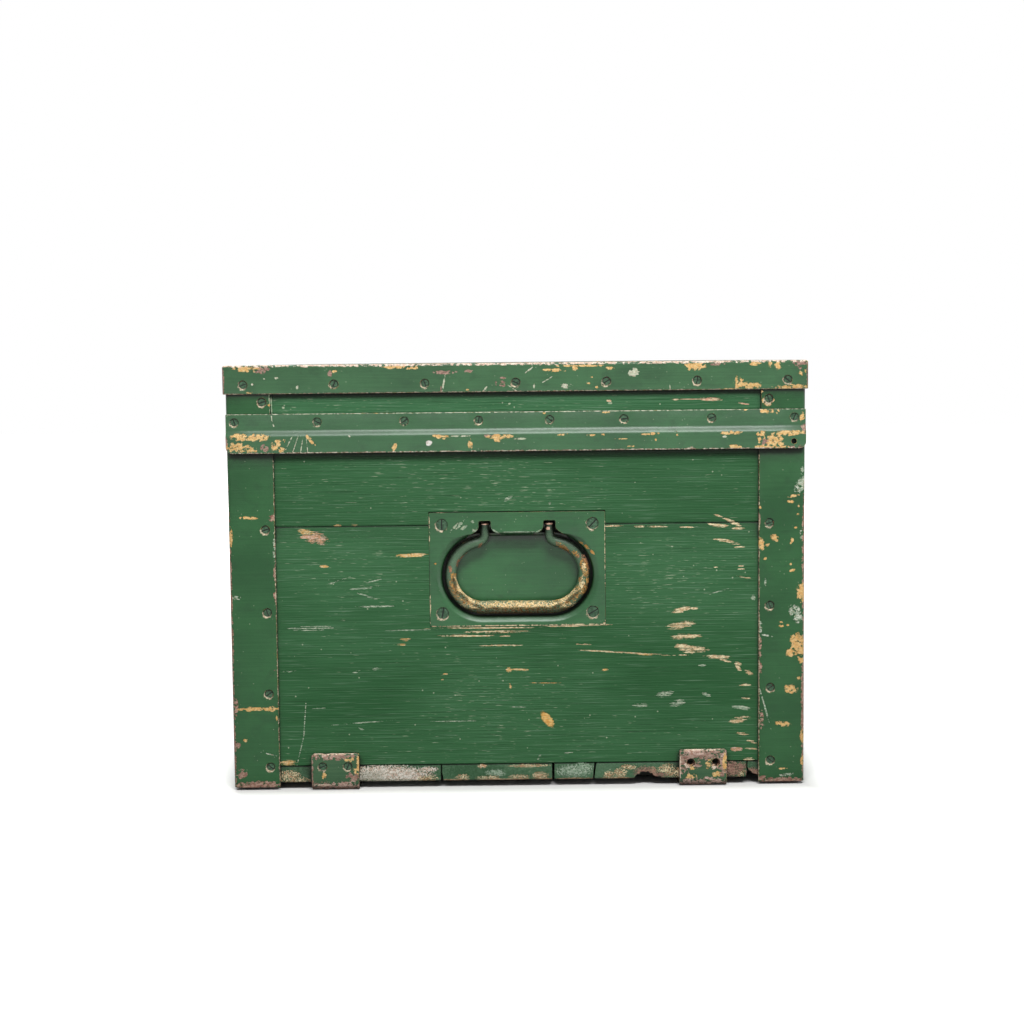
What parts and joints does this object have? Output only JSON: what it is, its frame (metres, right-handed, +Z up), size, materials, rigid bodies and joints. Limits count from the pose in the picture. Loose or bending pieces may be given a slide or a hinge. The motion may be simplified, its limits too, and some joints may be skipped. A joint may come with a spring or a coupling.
{
  "type": "wooden storage chest",
  "caption": "Low wooden storage chest with steel corner angles, a banded hinged lid, dished drop handles let into its ends, steel runners under the floor and a hasp on one side.",
  "frame": {"origin": "on the ground under the middle of the chest, at the bottom centre of its bounding box", "axes": "+Z up; +Y along the length, from the front handle end at -Y to the rear handle end; +X to the right seen from the front handle end, towards the hasp side"},
  "size_m": [0.5501, 0.8066, 0.3882],
  "materials": {
    "painted_boards": "worn green paint over ochre primer on softwood boards",
    "painted_iron": "worn green paint over ochre primer on mild steel",
    "runner_steel": "rusted mild steel with remains of green paint",
    "bail_steel": "green paint rubbed through to ochre primer and steel",
    "fixings": "slotted steel screws and pins, painted over"
  },
  "bodies": {
    "case": {"front_end_lower_board": "painted_boards", "front_end_upper_board": "painted_boards", "rear_end_lower_board": "painted_boards", "rear_end_upper_board": "painted_boards", "left_side_lower_board": "painted_boards", "left_side_upper_board": "painted_boards", "right_side_lower_board": "painted_boards", "right_side_upper_board": "painted_boards", "bottom_board_left": "painted_boards", "bottom_board_middle": "painted_boards", "bottom_board_right": "painted_boards", "front_left_corner_iron": "painted_iron", "front_right_corner_iron": "painted_iron", "rear_right_corner_iron": "painted_iron", "rear_left_corner_iron": "painted_iron", "left_runner": "runner_steel", "right_runner": "runner_steel", "front_handle_plate": "painted_iron", "rear_handle_plate": "painted_iron", "front_handle_pivot_strap": "painted_iron", "rear_handle_pivot_strap": "painted_iron", "front_handle_screw_1": "fixings", "front_handle_screw_2": "fixings", "front_handle_screw_3": "fixings", "front_handle_screw_4": "fixings", "rear_handle_screw_1": "fixings", "rear_handle_screw_2": "fixings", "rear_handle_screw_3": "fixings", "rear_handle_screw_4": "fixings", "front_hinge_case_leaf": "painted_iron", "rear_hinge_case_leaf": "painted_iron", "front_hinge_pin": "fixings", "rear_hinge_pin": "fixings", "hasp_leaf": "painted_iron", "hasp_pin": "fixings"},
    "lid": {"lid_top_board_1": "painted_boards", "lid_top_board_2": "painted_boards", "lid_top_board_3": "painted_boards", "lid_front_rail": "painted_boards", "lid_rear_rail": "painted_boards", "lid_left_rail": "painted_boards", "lid_right_rail": "painted_boards", "lid_front_left_iron": "painted_iron", "lid_front_right_iron": "painted_iron", "lid_rear_right_iron": "painted_iron", "lid_rear_left_iron": "painted_iron", "lid_front_rim_band": "painted_iron", "lid_rear_rim_band": "painted_iron", "lid_left_rim_band": "painted_iron", "lid_right_rim_band": "painted_iron", "lid_front_lip_band": "painted_iron", "lid_rear_lip_band": "painted_iron", "lid_right_lip_band": "painted_iron", "front_hinge_lid_leaf": "painted_iron", "rear_hinge_lid_leaf": "painted_iron", "hasp_staple": "painted_iron"},
    "front_bail": {"front_handle_bail": "bail_steel"},
    "rear_bail": {"rear_handle_bail": "bail_steel"},
    "hasp": {"hasp_strap": "painted_iron"}
  },
  "joints": [
    {"name": "lid_hinge", "type": "hinge", "parent": "case", "child": "lid", "pos_m": [-0.2656, 0, 0.31915], "axis": [0, -1, 0], "range_deg": [0, 180]},
    {"name": "front_handle_pivot", "type": "hinge", "parent": "case", "child": "front_bail", "pos_m": [0, -0.3892, 0.2408], "axis": [-1, 0, 0], "range_deg": [0, 90]},
    {"name": "rear_handle_pivot", "type": "hinge", "parent": "case", "child": "rear_bail", "pos_m": [0, 0.3892, 0.2408], "axis": [1, 0, 0], "range_deg": [0, 90]},
    {"name": "hasp_pivot", "type": "hinge", "parent": "case", "child": "hasp", "pos_m": [0.26625, 0, 0.2929], "axis": [0, -1, 0], "range_deg": [0, 180]}
  ]
}
